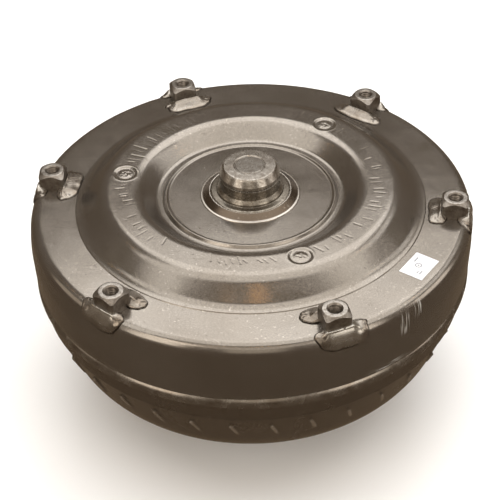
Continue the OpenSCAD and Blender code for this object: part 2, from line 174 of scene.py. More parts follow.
def grid_faces(rows, cols, wrap_rows=False, offset=0):
    """Quads of a grid whose columns close on themselves."""
    faces = []
    for i in range(rows if wrap_rows else rows - 1):
        j = (i + 1) % rows
        a, b = offset + i * cols, offset + j * cols
        faces += [(a + k, a + (k + 1) % cols, b + (k + 1) % cols, b + k) for k in range(cols)]
    return faces


def revolve(name, outline, cols, shape, closed=True, sharp=33):
    """Turns an (r, z) outline round the Z axis. shape(r, z, angle) gives the moved r, z and any per-point value
    for real rubbing, painted highlight and painted shade.
    """
    outline = np.asarray(outline, float)
    angle = np.linspace(0, 2 * math.pi, cols, endpoint=False)
    r = np.repeat(outline[:, :1], cols, 1)
    z = np.repeat(outline[:, 1:2], cols, 1)
    r, z, *wear_and_light = shape(r, z, np.broadcast_to(angle, r.shape))
    verts = np.stack((r * np.cos(angle), r * np.sin(angle), z), -1).reshape(-1, 3)
    faces = grid_faces(len(outline), cols, closed)
    return mesh_object(name, verts, faces, sharp, wear_and_light[0].ravel() if wear_and_light else None)


def place(points, az, r=0.0, yaw=0.0, z=0.0):
    """Turns local points by yaw, moves them out to radius r at azimuth az, and up by z."""
    def turn(p, deg):
        c, s = math.cos(math.radians(deg)), math.sin(math.radians(deg))
        return np.stack((p[..., 0] * c - p[..., 1] * s, p[..., 0] * s + p[..., 1] * c, p[..., 2]), -1)
    p = turn(np.asarray(points, float), yaw) + np.array((r, 0, z))
    return turn(p, az)


def add(obj, material, *nodes, body="casing", slot=None):
    """Gives a piece its material and body, and hides the CAD nodes it stands for."""
    obj.data.materials.clear()
    obj.data.materials.append(material)
    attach(obj, body)
    if nodes:
        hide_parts(*nodes)


# ---- Camera: long lens, looking down from the front; angles in degrees ----

ELEVATION = 39.26
ROLL = -1.745
DISTANCE = 873.68
AIM = (-1.454, -75.096, -0.75)
FOCAL = 2.60218  # as a multiple of the sensor's width


def make_camera():
    """A camera DISTANCE away from AIM, in the plane of the Y axis, rolled about its own axis."""
    e, roll = math.radians(ELEVATION), math.radians(ROLL)
    back = Vector((0, -math.cos(e), math.sin(e)))
    right = Vector((1, 0, 0))
    up = back.cross(right)
    turned_right = right * math.cos(roll) + up * math.sin(roll)
    turned_up = up * math.cos(roll) - right * math.sin(roll)
    data = bpy.data.cameras.new("camera")
    data.sensor_width = 36
    data.lens = FOCAL * data.sensor_width
    data.clip_start, data.clip_end = 0.05, 20
    camera = bpy.data.objects.new("camera", data)
    turn = Matrix((turned_right, turned_up, back)).transposed().to_4x4()
    camera.matrix_world = Matrix.Translation((Vector(AIM) + back * DISTANCE) * MM) @ turn
    bpy.context.scene.collection.objects.link(camera)
    bpy.context.scene.camera = camera


make_camera()

# ---- Materials: every one is procedural, in the object's own coordinates (metres) ----


class Shader:
    """A Principled material and short calls that add nodes to it. Its lengths are in metres."""

    def __init__(self, name, color, metallic, roughness):
        self.mat = bpy.data.materials.new(name)
        self.mat.use_nodes = True
        self.tree = self.mat.node_tree
        self.bsdf = self.tree.nodes["Principled BSDF"]
        self.set(self.bsdf, {"Base Color": (*color, 1), "Metallic": metallic, "Roughness": roughness})
        self.coords = self.add("ShaderNodeTexCoord").outputs["Object"]

    def set(self, node, values):
        """Links or sets each input."""
        for key, value in values.items():
            if isinstance(value, bpy.types.NodeSocket):
                self.tree.links.new(value, node.inputs[key])
            else:
                node.inputs[key].default_value = value

    def add(self, kind, values=None, **props):
        """A new node: values go to its inputs and props to its settings."""
        node = self.tree.nodes.new(kind)
        for key, value in props.items():
            setattr(node, key, value)
        self.set(node, values or {})
        return node

    def math(self, operation, a, b=0.0):
        return self.add("ShaderNodeMath", {0: a, 1: b}, operation=operation).outputs[0]

    def times(self, a, b):
        return self.math("MULTIPLY", a, b)

    def remap(self, value, low, high, to_low=0.0, to_high=1.0):
        """Straight ramp from low to high, held level beyond them."""
        return self.add("ShaderNodeMapRange", {0: value, 1: low, 2: high, 3: to_low, 4: to_high}).outputs[0]

    def noise(self, scale, detail=2.0, vector=None, distortion=0.0, roughness=0.5):
        values = {"Vector": vector or self.coords, "Scale": scale, "Detail": detail, "Distortion": distortion,
                  "Roughness": roughness}
        return self.add("ShaderNodeTexNoise", values).outputs[0]

    def stretch(self, scale, angle=0.0, vector=None):
        """The coordinates scaled on each axis, then turned about Z by angle degrees."""
        values = {"Vector": vector or self.coords, "Scale": scale, "Rotation": (0, 0, math.radians(angle))}
        return self.add("ShaderNodeMapping", values).outputs[0]

    def hairlines(self, angle, length, width, low, vector=None):
        """Sparse straight scratches: length and width in metres; low is nearer 1 for fewer."""
        scale = (1 / length, 1 / width, 1 / length)
        line = self.noise(1.0, 1.0, self.stretch(scale, angle, vector), 0.3)
        return self.remap(line, low, low + 0.04)

    def mix(self, factor, a, b):
        """Blends two colours or sockets."""
        def colour(v):
            return (*v, 1) if isinstance(v, tuple) else v
        node = self.add("ShaderNodeMix", {"Factor": factor}, data_type="RGBA")
        self.set(node, {6: colour(a), 7: colour(b)})
        return node.outputs[2]

    def scale_color(self, color, factor):
        node = self.add("ShaderNodeVectorMath", {0: color}, operation="SCALE")
        self.set(node, {"Scale": factor})
        return node.outputs[0]

    def bump(self, *layers):
        """Stacks (height socket, depth in millimetres) layers into the normal."""
        normal = None
        for height, depth in layers:
            values = {"Height": height, "Distance": depth * MM, "Strength": 1.0}
            if normal:
                values["Normal"] = normal
            normal = self.add("ShaderNodeBump", values).outputs[0]
        self.set(self.bsdf, {"Normal": normal})

    def finish(self, color, roughness):
        self.set(self.bsdf, {"Base Color": color, "Roughness": roughness})
        return self.mat

    def vector(self, x, y):
        return self.add("ShaderNodeCombineXYZ", {0: x, 1: y}).outputs[0]

    def length(self, x, y):
        return self.math("SQRT", self.math("ADD", self.times(x, x), self.times(y, y)))

    def polar(self):
        """Distance round the axis at the wall's radius, then radius and height."""
        x, y, z = self.add("ShaderNodeSeparateXYZ", {0: self.coords}).outputs
        around = self.times(self.math("ARCTAN2", y, x), COVER_R * MM)
        return around, self.length(x, y), z

    def spot(self, value, centre, half):
        """One at centre, falling softly to nothing half away."""
        away = self.math("ABSOLUTE", self.math("SUBTRACT", value, centre))
        return self.remap(away, half * 0.4, half, 1.0, 0.0)

    def wear_and_painted_light(self, color, bright, dark):
        """Brightens the colour where a mesh's per-point value is over nothing and darkens it where it is under:
        real rubbing on the pilot skirt's rims, painted highlight and painted shade on the weld beads and the
        shell's tabs.
        """
        wear_and_light = self.add("ShaderNodeAttribute", attribute_name="wear_and_light").outputs["Fac"]
        color = self.mix(self.remap(wear_and_light, 0.0, 1.0), color, bright)
        return self.mix(self.remap(wear_and_light, 0.0, -1.0), color, dark)


# Rubbed patches on the wall: azimuth, half-run (mm), height, half-height (mm), streak run and drop (mm)
SCUFFS = [
    (-52, 6, SEAT - 13, 10, 1.2, 26), (-47, 5, SEAT - 8, 7, 1.1, 24),
    (-57, 20, COVER_END + 3, 3.5, 12, 0.9), (20, 14, SEAT - 20, 8, 0.9, 9)]
COAT_METALLIC = 0.92
SCUFF_METALLIC = 0.7  # taken off where the coat is scuffed through
GRAIN = 1300  # of the coat, per metre


def scratch_lines(m, around, radius, z):
    """Two crossing sets of hairlines on the top and two on the wall, which come and go in patches."""
    wall = m.remap(radius, (COVER_R - 2.5) * MM, (COVER_R - 1) * MM)
    side = m.vector(around, z)
    top_lines = m.math("MAXIMUM", m.hairlines(18, 0.030, 0.0006, 0.76), m.hairlines(-62, 0.022, 0.0005, 0.77))
    side_lines = m.math("MAXIMUM", m.hairlines(8, 0.05, 0.0006, 0.76, side),
                        m.hairlines(80, 0.02, 0.0006, 0.78, side))
    lines = m.math("ADD", m.times(top_lines, m.math("SUBTRACT", 1.0, wall)), m.times(side_lines, wall))
    return m.times(lines, m.remap(m.noise(11, 2), 0.45, 0.6))


def scuff_patches(m, around, z):
    """Streaky patches at the places that SCUFFS names."""
    side = m.vector(around, z)
    scuff = 0.0
    for az, half_run, height, half_height, run, drop in SCUFFS:
        patch = m.times(m.spot(around, math.radians(az) * COVER_R * MM, half_run * MM),
                        m.spot(z, height * MM, half_height * MM))
        streak = m.noise(1.0, 1, m.stretch((1 / (run * MM), 1 / (drop * MM), 1), 0, side))
        scuff = m.math("MAXIMUM", scuff, m.times(patch, m.remap(streak, 0.5, 0.66)))
    return scuff


def coat(name, dark, light, roughness, scratched=True):
    """Satin metallic coat: fine grain, cloudy tone, smudges, and scratches through to brighter metal."""
    m = Shader(name, light, COAT_METALLIC, roughness)
    cloud = m.noise(14, 3)
    grain = m.noise(GRAIN, 2)
    peel = m.noise(520, 1)
    color = m.mix(m.remap(cloud, 0.3, 0.7), dark, light)
    color = m.scale_color(color, m.remap(grain, 0.3, 0.7, 0.87, 1.13))
    chips = m.remap(m.noise(480, 3, roughness=0.65), 0.62, 0.70)
    stains = m.remap(m.noise(230, 4, roughness=0.7), 0.60, 0.70)
    color = m.mix(m.times(stains, 0.35), color, (0.10, 0.08, 0.062))
    color = m.mix(m.times(chips, 0.30), color, (0.50, 0.46, 0.41))
    smudge = m.noise(30, 3, m.stretch((1, 1.7, 1), 35), 0.6)
    rough = m.math("ADD", m.remap(smudge, 0.3, 0.7, roughness - 0.025, roughness + 0.04),
                   m.remap(grain, 0.3, 0.7, -0.02, 0.03))
    if scratched:
        around, radius, z = m.polar()
        color = m.mix(m.times(scratch_lines(m, around, radius, z), 0.45), color, (0.5, 0.46, 0.40))
        scuff = scuff_patches(m, around, z)
        color = m.mix(m.times(scuff, 0.6), color, (0.42, 0.42, 0.40))
        m.set(m.bsdf, {"Metallic": m.math("SUBTRACT", COAT_METALLIC, m.times(scuff, SCUFF_METALLIC))})
        # Painted shade: a dark band just above the upper end of the shell's cone, standing for the shadow under
        # the step.
        painted_step_shade = m.spot(z, (RIB_TOP[1] + 1.2) * MM, 1.6 * MM)
        color = m.mix(m.times(painted_step_shade, 0.5), color, (0.05, 0.04, 0.03))
    m.bump((peel, 0.010 if scratched else 0.012), (grain, 0.005))
    # Per-point values brighten and darken here: a painted highlight on the shell's tab ends, real rubbing on
    # the pilot skirt's rims.
    color = m.wear_and_painted_light(color, (0.78, 0.74, 0.68), (0.035, 0.026, 0.018))
    return m.finish(color, rough)


def lug_shader():
    """Coated lug whose edges and face are rubbed brighter."""
    m = Shader("lug_coat", (0.2, 0.17, 0.14), 0.95, 0.32)
    rubbed = m.add("ShaderNodeAttribute", attribute_name="wear_and_light").outputs["Fac"]
    patchy = m.noise(520, 4, roughness=0.65)
    grain = m.noise(1400, 2)
    rubbed = m.times(rubbed, m.remap(patchy, 0.32, 0.5))
    stain = m.remap(m.noise(210, 3), 0.4, 0.62)
    color = m.mix(stain, (0.125, 0.102, 0.082), (0.215, 0.185, 0.155))
    color = m.mix(rubbed, color, (0.31, 0.287, 0.258))
    color = m.scale_color(color, m.remap(grain, 0.3, 0.7, 0.82, 1.15))
    rough = m.math("SUBTRACT", m.remap(patchy, 0.3, 0.7, 0.34, 0.48), m.times(rubbed, 0.12))
    m.bump((patchy, 0.03), (grain, 0.01))
    return m.finish(color, rough)


def weld_shader():
    """The same coat where it runs over weld metal: smoother, with a painted highlight on the middle of the
    outer beads and painted shade on the middle of the inner beads, along the bead rims, in the crevices between
    grains and on the hidden undersides.
    """
    m = Shader("weld_coat", (0.225, 0.198, 0.168), COAT_METALLIC, 0.22)
    cloud = m.noise(110, 3, distortion=0.4)
    grain = m.noise(GRAIN, 2)
    color = m.mix(m.remap(cloud, 0.35, 0.65), (0.185, 0.155, 0.125), (0.27, 0.243, 0.21))
    color = m.scale_color(color, m.remap(grain, 0.3, 0.7, 0.88, 1.12))
    # Painted highlight and painted shade on the weld beads, from each point's value.
    color = m.wear_and_painted_light(color, (0.62, 0.60, 0.55), (0.025, 0.018, 0.012))
    m.bump((m.noise(240, 2), 0.012), (grain, 0.004))
    return m.finish(color, m.remap(cloud, 0.3, 0.7, 0.2, 0.3))


LATHE_LINES = 3200.0  # per metre


def pilot_shader():
    """Turned steel, rubbed bright on top and stained brown below."""
    m = Shader("pilot_worn_steel", (0.32, 0.30, 0.27), 1.0, 0.26)
    _, radius, z = m.polar()
    turned = m.noise(1.0, 2, m.vector(m.times(radius, LATHE_LINES), m.times(z, LATHE_LINES)))
    stain = m.noise(330, 5, roughness=0.7, distortion=0.5)
    pits = m.remap(m.noise(900, 3, roughness=0.7), 0.63, 0.7)
    top = m.remap(z, (PILOT_TOP - 10) * MM, (PILOT_TOP - 8) * MM)
    bright = m.mix(m.remap(stain, 0.38, 0.62), (0.20, 0.172, 0.145), (0.34, 0.315, 0.28))
    low = m.mix(m.remap(stain, 0.4, 0.65), (0.15, 0.13, 0.105), (0.25, 0.225, 0.19))
    color = m.mix(top, low, bright)
    color = m.scale_color(color, m.remap(turned, 0.3, 0.7, 0.92, 1.08))
    inner = m.times(top, m.remap(radius, 10.0 * MM, 10.6 * MM, 1.0, 0.0))
    color = m.scale_color(color, m.math("SUBTRACT", 1.0, m.times(inner, 0.25)))
    color = m.mix(m.times(pits, 0.6), color, (0.10, 0.08, 0.065))
    rough = m.math("ADD", m.remap(stain, 0.3, 0.7, 0.34, 0.22), m.times(pits, 0.2))
    m.bump((turned, 0.004), (stain, 0.006), (pits, -0.015))
    return m.finish(color, rough)


# Bars on the label: out from the axis, across, half-width and half-length
LABEL_BARS = [(134.2, 5.0, 0.5, 2.6), (143.6, -5.5, 0.45, 2.0), (141.6, -6.2, 0.4, 1.2)]


def label_shader():
    """White paper with a small plain ring and three faint bars."""
    m = Shader("label_white_paper", (0.9, 0.9, 0.91), 0.0, 0.42)
    fibre = m.noise(2200, 3)
    x, y, _ = m.add("ShaderNodeSeparateXYZ", {0: m.stretch((1, 1, 1), -LABEL_AZ)}).outputs

    def near(value, centre, half):
        return m.math("LESS_THAN", m.math("ABSOLUTE", m.math("SUBTRACT", value, centre * MM)), half * MM)

    distance = m.length(m.math("SUBTRACT", x, (LABEL_R - 0.8) * MM), m.math("SUBTRACT", y, 0.5 * MM))
    marks = m.math("MAXIMUM", near(distance, 2.0, 0.4), m.math("LESS_THAN", distance, 0.7 * MM))
    for bx, by, half_x, half_y in LABEL_BARS:
        marks = m.math("MAXIMUM", marks, m.times(near(x, bx, half_x), near(y, by, half_y)))
    color = m.mix(m.remap(fibre, 0.3, 0.7), (0.56, 0.56, 0.57), (0.62, 0.62, 0.63))
    color = m.mix(m.times(marks, 0.8), color, (0.12, 0.125, 0.14))
    m.bump((fibre, 0.01))
    return m.finish(color, m.remap(fibre, 0.3, 0.7, 0.38, 0.5))


OIL = 0.06  # how far a film of oil moves the roughness


def bare(name, dark, light, roughness, grain_scale, bump_mm=0.012, metallic=1.0):
    """Clean inner metal, with cloudy oil film and fine grain."""
    m = Shader(name, light, metallic, roughness)
    cloud = m.noise(22, 4, distortion=0.8)
    grain = m.noise(grain_scale, 3)
    color = m.mix(m.remap(cloud, 0.35, 0.65), dark, light)
    color = m.scale_color(color, m.remap(grain, 0.3, 0.7, 0.9, 1.08))
    rough = m.math("ADD", m.remap(cloud, 0.3, 0.7, roughness - OIL, roughness + OIL),
                   m.remap(grain, 0.3, 0.7, -0.03, 0.03))
    m.bump((grain, bump_mm))
    return m.finish(color, rough)


cover_coat = coat("cover_satin_coat", (0.203, 0.179, 0.152), (0.238, 0.216, 0.190), 0.20)
# Painted shade: the impeller bowl gets a darker copy of the cover's coat, for the shade on its lower,
# downward-facing side.
shaded_shell_coat = coat("shell_satin_coat_painted_shade", (0.165, 0.137, 0.110), (0.20, 0.170, 0.138), 0.22)
burnt_coat = coat("burnt_skirt_coat", (0.075, 0.056, 0.040), (0.115, 0.088, 0.064), 0.24, scratched=False)
lug_steel = lug_shader()
weld_metal = weld_shader()
pilot_steel = pilot_shader()
label_paper = label_shader()
SLOT_MATERIAL = {
    "cover_steel": cover_coat, "shell_steel": shaded_shell_coat, "weld_steel": weld_metal, "lug_steel": lug_steel,
    "pilot_steel": pilot_steel, "label_paper": label_paper,
    "pressed_steel": bare("pressed_steel_sheet", (0.40, 0.39, 0.37), (0.56, 0.55, 0.53), 0.34, 300),
    "hub_steel": bare("ground_hub_steel", (0.50, 0.49, 0.47), (0.66, 0.65, 0.63), 0.22, 1200, 0.006),
    "ring_iron": bare("seal_ring_iron", (0.12, 0.12, 0.125), (0.2, 0.2, 0.205), 0.42, 900, 0.02, 0.9),
    "friction_paper": bare("friction_lining_paper", (0.11, 0.07, 0.04), (0.19, 0.125, 0.075), 0.85, 1500,
                           0.06, 0.0),
    "spring_steel": bare("blued_spring_steel", (0.17, 0.19, 0.24), (0.30, 0.32, 0.37), 0.28, 700),
    "stator_alloy": bare("cast_alloy", (0.60, 0.61, 0.62), (0.76, 0.77, 0.78), 0.45, 1400, 0.05),
    "bearing_steel": bare("ground_bearing_steel", (0.62, 0.63, 0.65), (0.78, 0.79, 0.81), 0.14, 2000, 0.003)}

# ---- Front cover ----

DISC = SEAT + 3.75
RING = SEAT + 14.25
RING_R = 91
COVER_T = 5
# Outlines are lists of r, z and the fillet radius at that corner
SHOULDER = [
    (COVER_R - 4.4, SEAT, 7), (COVER_R - 1.5, SEAT - 6.2, 14), (COVER_R, SEAT - 18, 60),
    (COVER_R - 0.5, COVER_END + 4, 10), (COVER_R - 1.1, COVER_END + 0.7, 0.4), (COVER_R - 1.7, COVER_END, 0)]
COVER_OUTSIDE = [
    (14.2, DISC, 0), (58.8, DISC, 1.5), (60.3, DISC + 1, 0.7), (61.2, DISC + 1, 0.7),
    (63.0, DISC - 1.1, 1.5), (67.5, DISC - 1.1, 5), (80.5, RING, 12), (104.5, RING, 14),
    (121, SEAT + 1.25, 12), (125.4, SEAT + 0.55, 0.4), (126, SEAT, 0)] + SHOULDER
COVER_INSIDE = [
    (COVER_R - COVER_T, COVER_END, 0), (COVER_R - COVER_T, SEAT - 14.75, 8), (COVER_R - 8.5, SEAT - COVER_T, 4),
    (120.8, SEAT - COVER_T, 5), (102.8, RING - COVER_T, 6), (82.3, RING - COVER_T, 6),
    (70, DISC - COVER_T - 0.5, 3), (14.2, DISC - COVER_T - 0.5, 0)]
# Heights inside the sheet, at each radius: what lies above is the outer side
SHEET_R = [0, 70, 83, 102, 121, 150, 160]
SHEET_Z = [DISC - 3, DISC - 3, RING - 2.5, RING - 2.5, SEAT - 2.5, SEAT - 2.5, COVER_END - 50]
DIMPLE_R = 8.8
CROWN_R = 5.6  # the raised middle of a dimple
DIMPLE_DEPTH, CROWN_RISE, LIP_RISE = 0.85, 0.4, 0.10
MARKS = 120
DIMPLE_CLEAR = 7.5  # degrees on each side of a dimple that carry no mark
MARK_HALF_WIDTH = 0.5
MARK_REACH = 7  # nothing farther than this from a mark's middle is cut by it


def cover_step(r, z):
    """Mesh spacing on the outer side: finest across the dimples."""
    if abs(r - RING_R) < DIMPLE_R + 2:
        return 0.45
    return 1.3 if r < COVER_R - 0.5 else 3


def make_marks():
    """Single scratches round the raised ring, each as both its ends and its depth. They never join.

    They are longer and closer on the far side, and slant more in front.
    """
    rng = np.random.default_rng(11)
    marks = []
    for k in range(MARKS):
        az = k * 360 / MARKS + rng.uniform(-0.8, 0.8)
        if min(abs((az - dimple + 180) % 360 - 180) for dimple in DIMPLE_AZ) < DIMPLE_CLEAR:
            continue
        far, front = 45 < az < 160, 225 < az < 300
        if rng.random() < (0.05 if far else 0.3):
            continue
        half = rng.uniform(3.0, 5.6) if far else rng.uniform(1.2, 4.2)
        lean = rng.uniform(1.0, 1.6) if front else rng.uniform(0.0, 0.5)
        r, a = RING_R + rng.uniform(-2.5, 2.5) - 2 * front, math.radians(az)
        ends = []
        for side in (-1, 1):
            turned = a + side * lean / r
            ends.append((r + side * half) * np.array((math.cos(turned), math.sin(turned))))
        marks.append((*ends, rng.uniform(0.04, 0.15)))
    return marks


def mark_depth(x, y, marks):
    """How deep the strokes cut at each point."""
    depth = np.zeros_like(x)
    for p, q, cut in marks:
        near = np.hypot(x - (p[0] + q[0]) / 2, y - (p[1] + q[1]) / 2) < MARK_REACH
        px, py = x[near] - p[0], y[near] - p[1]
        d = q - p
        t = np.clip((px * d[0] + py * d[1]) / (d @ d), 0, 1)
        gap = np.hypot(px - t * d[0], py - t * d[1])
        depth[near] = np.maximum(depth[near], cut * np.exp(-(gap / MARK_HALF_WIDTH) ** 2))
    return depth


def shape_cover(r, z, angle):
    """Coined dimples on the raised ring, and the slight waviness of a pressing."""
    x, y = r * np.cos(angle), r * np.sin(angle)
    outside = z > np.interp(r, SHEET_R, SHEET_Z)
    wall = np.clip((SEAT - 8 - z) / 6, 0, 1)
    swell = 0.10 * waves(x, y, 90, 3) + 0.03 * waves(x, y, 26, 4)
    z = z + swell * outside * (1 - wall) * smoothstep((r - 30) / 10)
    r = r - 0.10 * (1 + waves(x, y, 110, 5) * 0.5) * wall * (r > COVER_R - 2)
    for az in DIMPLE_AZ:
        a = math.radians(az)
        d = np.hypot(x - RING_R * math.cos(a), y - RING_R * math.sin(a))
        wall_in = smoothstep((DIMPLE_R - d) / 2.2)
        crown = smoothstep((CROWN_R - d) / 2.6)
        rough = 0.12 * waves(x, y, 2.6, 7) * crown
        lip = LIP_RISE * np.exp(-((d - DIMPLE_R - 0.5) / 0.8) ** 2)
        near = (d < DIMPLE_R + 3) & outside
        z = z + near * (lip - DIMPLE_DEPTH * wall_in + CROWN_RISE * crown + rough)
    ring = (np.abs(r - RING_R) < 10) & outside
    z[ring] -= mark_depth(x[ring], y[ring], make_marks())
    return r, z


cover_path = np.concatenate((resample(rounded(COVER_OUTSIDE), cover_step),
                             resample(rounded(COVER_INSIDE, 4), lambda r, z: 12)))
add(revolve("front_cover_shell", cover_path, 1200, shape_cover), cover_coat, "front_cover", slot="cover_steel")

# ---- Pilot ----

PILOT_R = 21.6
PILOT_RIM = PILOT_R + 7.1
PILOT = [
    (0, PILOT_TOP - 0.35, 0), (9.9, PILOT_TOP - 0.35, 0.3), (10.25, PILOT_TOP - 0.75, 0.2),
    (10.75, PILOT_TOP - 0.75, 0.2), (11.3, PILOT_TOP - 0.12, 0.6), (PILOT_R - 3, PILOT_TOP - 0.3, 1),
    (PILOT_R - 2, PILOT_TOP - 1.5, 1.2), (PILOT_R + 0.1, PILOT_TOP - 5.8, 0.8),
    (PILOT_R + 0.1, PILOT_TOP - 7.9, 0.2), (PILOT_R - 0.9, PILOT_TOP - 8.3, 0.15),
    (PILOT_R - 0.9, PILOT_TOP - 8.8, 0.15), (PILOT_R, PILOT_TOP - 9.2, 0.2), (PILOT_R, -0.3, 0.8),
    (PILOT_R + 1.6, -2.0, 0.8), (PILOT_R + 2.2, -2.9, 0.4), (PILOT_R + 2.4, DISC + 4.9, 0.3),
    (PILOT_R + 6, DISC + 4.6, 0.5), (PILOT_RIM, DISC + 4.2, 0.5), (PILOT_RIM, DISC, 0), (14, DISC, 0),
    (14, DISC - COVER_T - 0.5, 0), (0, DISC - COVER_T - 0.5, 0)]
PILOT_SKIRT = [
    (PILOT_RIM, DISC + CUT, 0), (PILOT_RIM, DISC + 4.3, 0.3), (PILOT_RIM + 0.9, DISC + 4.3, 0.5),
    (PILOT_RIM + 5.7, DISC + 0.75, 1.2), (PILOT_RIM + 6.7, DISC + 0.75, 0.5), (PILOT_RIM + 7.4, DISC + CUT, 0)]


def shape_pilot(r, z, angle):
    """Handling marks: small nicks round the top edge and a slightly uneven chamfer."""
    x, y = r * np.cos(angle), r * np.sin(angle)
    edge = np.exp(-((z - PILOT_TOP + 2.6) / 3.0) ** 2) * (r > 14)
    r = r - edge * 0.07 * (1 + waves(x, y, 9, 21)) - edge * 0.08 * smoothstep(waves(x, y, 2.4, 22) - 1.2)
    top = (z > PILOT_TOP - 1.2) * (r > 1)
    z = z - top * 0.02 * (1 + waves(x, y, 6, 23)) * smoothstep((r - 9.5) / 3)
    return r, z


pilot_path = resample(rounded(PILOT, 5), lambda r, z: 0.8 if z > -3 else 3)
add(revolve("pilot", pilot_path, 360, shape_pilot, closed=False, sharp=40), pilot_steel, "pilot_boss",
    slot="pilot_steel")


def shape_skirt(r, z, angle):
    """Even cone, rubbed bright along its inner and outer rims."""
    edge = smoothstep((r - PILOT_RIM - 5.2) / 0.7) + smoothstep((PILOT_RIM + 1.1 - r) / 0.5)
    return r, z, edge * smoothstep((z - DISC - 0.3) / 0.3) * 0.55


skirt_path = resample(rounded(PILOT_SKIRT, 5), lambda r, z: 0.4)
add(revolve("pilot_skirt", skirt_path, 360, shape_skirt), burnt_coat, "pilot_weld", slot="weld_steel")

# ---- Drive lugs: square, chamfered to a round face, with a cut thread ----

FACE_R = 8.15
TURNED_R = 12.05
CREST_R = 4.25
THREAD_DEPTH = 0.65
THREAD_PITCH = 1.5
CHAMFER_SLOPE = 0.79
LUG_COLS = 144
LUG_SEAT = SEAT + CUT
CHAMFER_TOP = -0.18
# Radius, height and wear over the mouth of the bore and the face
FACE_ROWS = [
    (CREST_R + 0.05, -1.25, 0.2), (4.8, -0.7, 0.25), (5.25, -0.25, 0.3), (5.5, -0.03, 0.9), (5.75, 0, 0.9),
    (6.9, 0, 0.8), (FACE_R - 0.35, 0, 0.9), (FACE_R, -0.05, 1), (FACE_R + 0.2, CHAMFER_TOP, 0.9)]
CHAMFER_ROWS = [(0.15, 0.3), (0.35, 0.2), (0.55, 0.2), (0.75, 0.2), (0.92, 0.5), (1.0, 0.9)]  # share, wear
EDGE_ROWS = [(0.08, 1), (0.3, 0.6), (0.7, 0.2)]  # drop, wear


def lug_points(seed):
    """Rows of a lug from the bottom of its bore, up, over the face and down the sides, with their wear."""
    a = np.linspace(0, 2 * math.pi, LUG_COLS, endpoint=False)
    square = (np.abs(np.cos(a)) ** 24 + np.abs(np.sin(a)) ** 24) ** (-1 / 24) * (LUG_HALF - 0.05)
    side = (square ** -40 + TURNED_R ** -40) ** (-1 / 40)
    rows = []
    for z in np.arange(LUG_SEAT, -1, THREAD_PITCH / 8):
        turn = (z / THREAD_PITCH + a / (2 * math.pi)) % 1
        cut = (1 - np.abs(2 * turn - 1)) ** 0.8 * smoothstep((-1 - z) / 1.2)
        rows.append((CREST_R + THREAD_DEPTH * cut, z, 0.1))
    rows += FACE_ROWS
    for t, wear_and_light in CHAMFER_ROWS:
        r = lerp(FACE_R + 0.2, side - 0.1, t)
        rows.append((r, CHAMFER_TOP - (r - FACE_R - 0.2) * CHAMFER_SLOPE, wear_and_light))
    shoulder = rows[-1][1]
    for drop, wear_and_light in EDGE_ROWS:
        rows.append((side - 0.1 * max(0, 1 - drop * 4), shoulder - drop, wear_and_light))
    for t in np.linspace(0, 1, 12)[1:]:
        rows.append((side, lerp(shoulder - EDGE_ROWS[-1][0], LUG_SEAT, t), 0.15))
    r, z, wear_and_light = (np.stack([np.broadcast_to(row[k], a.shape) for row in rows]) for k in range(3))
    edge = smoothstep((square - LUG_HALF - 1.2) / 1.5)
    wear_and_light = np.where((r > FACE_R + 0.5) & (z < -0.3), np.maximum(wear_and_light, 0.6 * edge), wear_and_light)
    x, y = r * np.cos(a), r * np.sin(a)
    dent = 0.07 * waves(x + z, y - z, 7, 40 + seed) + 0.03 * waves(x + z * 0.7, y + z, 2.2, 50 + seed)
    r = r + (r > FACE_R - 1) * (dent - 0.1) * smoothstep((-0.1 - z) / 0.6)
    z = z + (r > CREST_R + 1) * smoothstep((0.2 + z) / 0.2) * (0.03 * waves(x, y, 4, 60 + seed) - 0.04)
    return np.stack((r * np.cos(a), r * np.sin(a), z), -1), wear_and_light


for i, az in enumerate(LUG_AZ):
    points, wear_and_light = lug_points(i)
    verts = place(points, az, LUG_R, LUG_YAW[i]).reshape(-1, 3)
    lug = mesh_object(f"drive_lug_{i + 1}", verts, grid_faces(len(points), LUG_COLS, True), 26, wear_and_light.ravel())
    add(lug, lug_steel, "drive_lugs", slot="lug_steel")

# ---- Weld beads, draped over the seat and the shoulder ----

DRAPE_START = 110
drape_path = resample(rounded([(DRAPE_START, SEAT, 0)] + SHOULDER), lambda r, z: 0.5)
drape_run = np.concatenate(([0], np.cumsum(np.linalg.norm(np.diff(drape_path, axis=0), axis=1))))
BEAD_RINGS, BEAD_COLS = 30, 176
# Unevenness of a bead's outline: share, waves round it, turn with the seed
BEAD_WOBBLE = [(0.035, 3, 1), (0.03, 5, 2), (0.012, 11, 1)]


def on_cover(s):
    """Radius and height of the cover's outline, s along it from DRAPE_START."""
    return [np.interp(s, drape_run, drape_path[:, k]) for k in (0, 1)]


def swing(r, t, z, az):
    """Points at radius r and height z of the axis, t to the side of azimuth az."""
    a = t / np.maximum(np.hypot(r, t), 1)
    return place(np.stack((r * np.cos(a), r * np.sin(a), z), -1), az)


def drape(s, t, lift, az):
    """Points lifted off the cover, s along its outline and t to the side."""
    r, z = on_cover(s)
    r1, z1 = on_cover(s + 0.5)
    r0, z0 = on_cover(s - 0.5)
    length = np.hypot(r1 - r0, z1 - z0)
    return swing(r - (z1 - z0) / length * lift, t, z + (r1 - r0) / length * lift, az)


